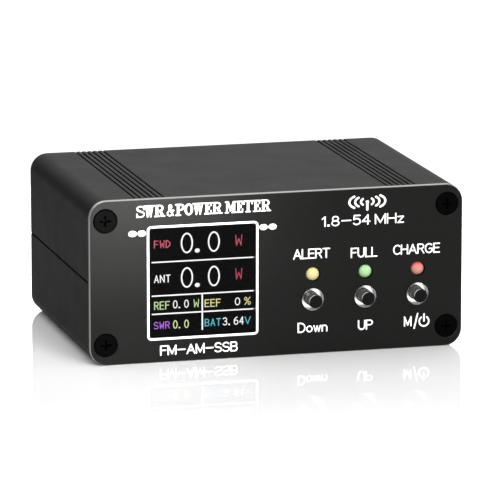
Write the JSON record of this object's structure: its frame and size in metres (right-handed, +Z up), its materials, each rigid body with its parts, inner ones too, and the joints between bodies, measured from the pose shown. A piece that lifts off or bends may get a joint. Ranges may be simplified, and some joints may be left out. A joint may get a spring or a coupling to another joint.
{
  "type": "swr meter",
  "caption": "Compact SWR and power meter in a black extruded metal case, with colour screen, indicator lamps, push buttons and coaxial sockets.",
  "frame": {"origin": "middle of the overall footprint, on the plane that the case stands on", "axes": "+X to the right and +Y to the rear as the user faces the panel, +Z up"},
  "size_m": [0.088, 0.084, 0.038],
  "materials": {
    "shell_anodised": "fine bead-blasted black anodised",
    "front_anodised": "black anodised with bare edges",
    "rear_anodised": "black anodised",
    "black_steel": "black oxide",
    "clear_acrylic": "polished clear",
    "screen_glass": "polished",
    "backlight_white": "satin",
    "black_plastic": "fine moulded",
    "amber_film": "smooth film",
    "switch_steel": "rolled, bright",
    "spring_steel": "rolled, bright",
    "tinned_metal": "bright tinned",
    "button_plastic": "satin moulded",
    "lamp_yellow": "diffuse tinted",
    "lamp_green": "diffuse tinted",
    "lamp_red": "diffuse tinted",
    "board_laminate": "green solder mask",
    "gold_pins": "gold plated",
    "nickel_plate": "bright nickel plate",
    "contact_gold": "gold plated",
    "fluoropolymer": "waxy white",
    "zinc_steel": "bright zinc plate",
    "bare_copper": "tinned in places",
    "ferrite": "fired, matt",
    "enamelled_copper": "enamelled",
    "cell_foil": "satin laminated foil",
    "foam_tape": "foam",
    "wire_red": "soft insulation",
    "wire_black": "soft insulation",
    "white_nylon": "moulded",
    "chip_epoxy": "moulded epoxy",
    "resistor_ceramic": "glazed",
    "capacitor_ceramic": "fired"
  },
  "bodies": {
    "case": {"lower_shell": "shell_anodised", "upper_shell": "shell_anodised", "front_panel": "front_anodised", "rear_panel": "rear_anodised", "front_panel_screws": "black_steel", "rear_panel_screws": "black_steel", "display_window": "clear_acrylic", "lcd_glass": "screen_glass", "lcd_backlight": "backlight_white", "lcd_frame": "black_plastic", "lcd_flex_cable": "amber_film", "switch_housings": "black_plastic", "switch_cover_plates": "switch_steel", "switch_domes": "spring_steel", "switch_legs": "tinned_metal", "lamp_leads": "tinned_metal", "display_board": "board_laminate", "board_link_header": "black_plastic", "board_link_pins": "gold_pins", "main_board": "board_laminate", "transmitter_socket": "nickel_plate", "antenna_socket": "nickel_plate", "socket_insulators": "fluoropolymer", "transmitter_contact": "contact_gold", "antenna_contact": "contact_gold", "socket_screws": "zinc_steel", "socket_nuts": "zinc_steel", "charging_socket_shell": "tinned_metal", "charging_socket_tongue": "black_plastic", "through_line": "bare_copper", "coupled_line": "bare_copper", "line_sleeves": "fluoropolymer", "coupler_cores": "ferrite", "coupler_windings": "enamelled_copper", "coupler_screen": "tinned_metal", "battery_cell": "cell_foil", "battery_tape": "foam_tape", "battery_wire_red": "wire_red", "battery_wire_black": "wire_black", "battery_plug": "white_nylon", "battery_socket": "white_nylon", "controller_chip": "chip_epoxy", "small_chips": "chip_epoxy", "small_chip_legs": "tinned_metal", "charger_inductor": "ferrite", "chip_resistors": "resistor_ceramic", "chip_capacitors": "capacitor_ceramic", "detector_diodes": "chip_epoxy", "alert_lamp": "lamp_yellow", "full_lamp": "lamp_green", "charge_lamp": "lamp_red"},
    "down_button": {"down_button": "button_plastic"},
    "up_button": {"up_button": "button_plastic"},
    "mode_button": {"mode_button": "button_plastic"}
  },
  "joints": [
    {"name": "down_press", "type": "slide", "parent": "case", "child": "down_button", "axis": [0, 1, 0], "range_m": [0, 0.00025], "stiffness_N_per_m": 4000, "springref_m": -0.00015},
    {"name": "up_press", "type": "slide", "parent": "case", "child": "up_button", "axis": [0, 1, 0], "range_m": [0, 0.00025], "stiffness_N_per_m": 4000, "springref_m": -0.00015},
    {"name": "mode_press", "type": "slide", "parent": "case", "child": "mode_button", "axis": [0, 1, 0], "range_m": [0, 0.00025], "stiffness_N_per_m": 4000, "springref_m": -0.00015}
  ]
}
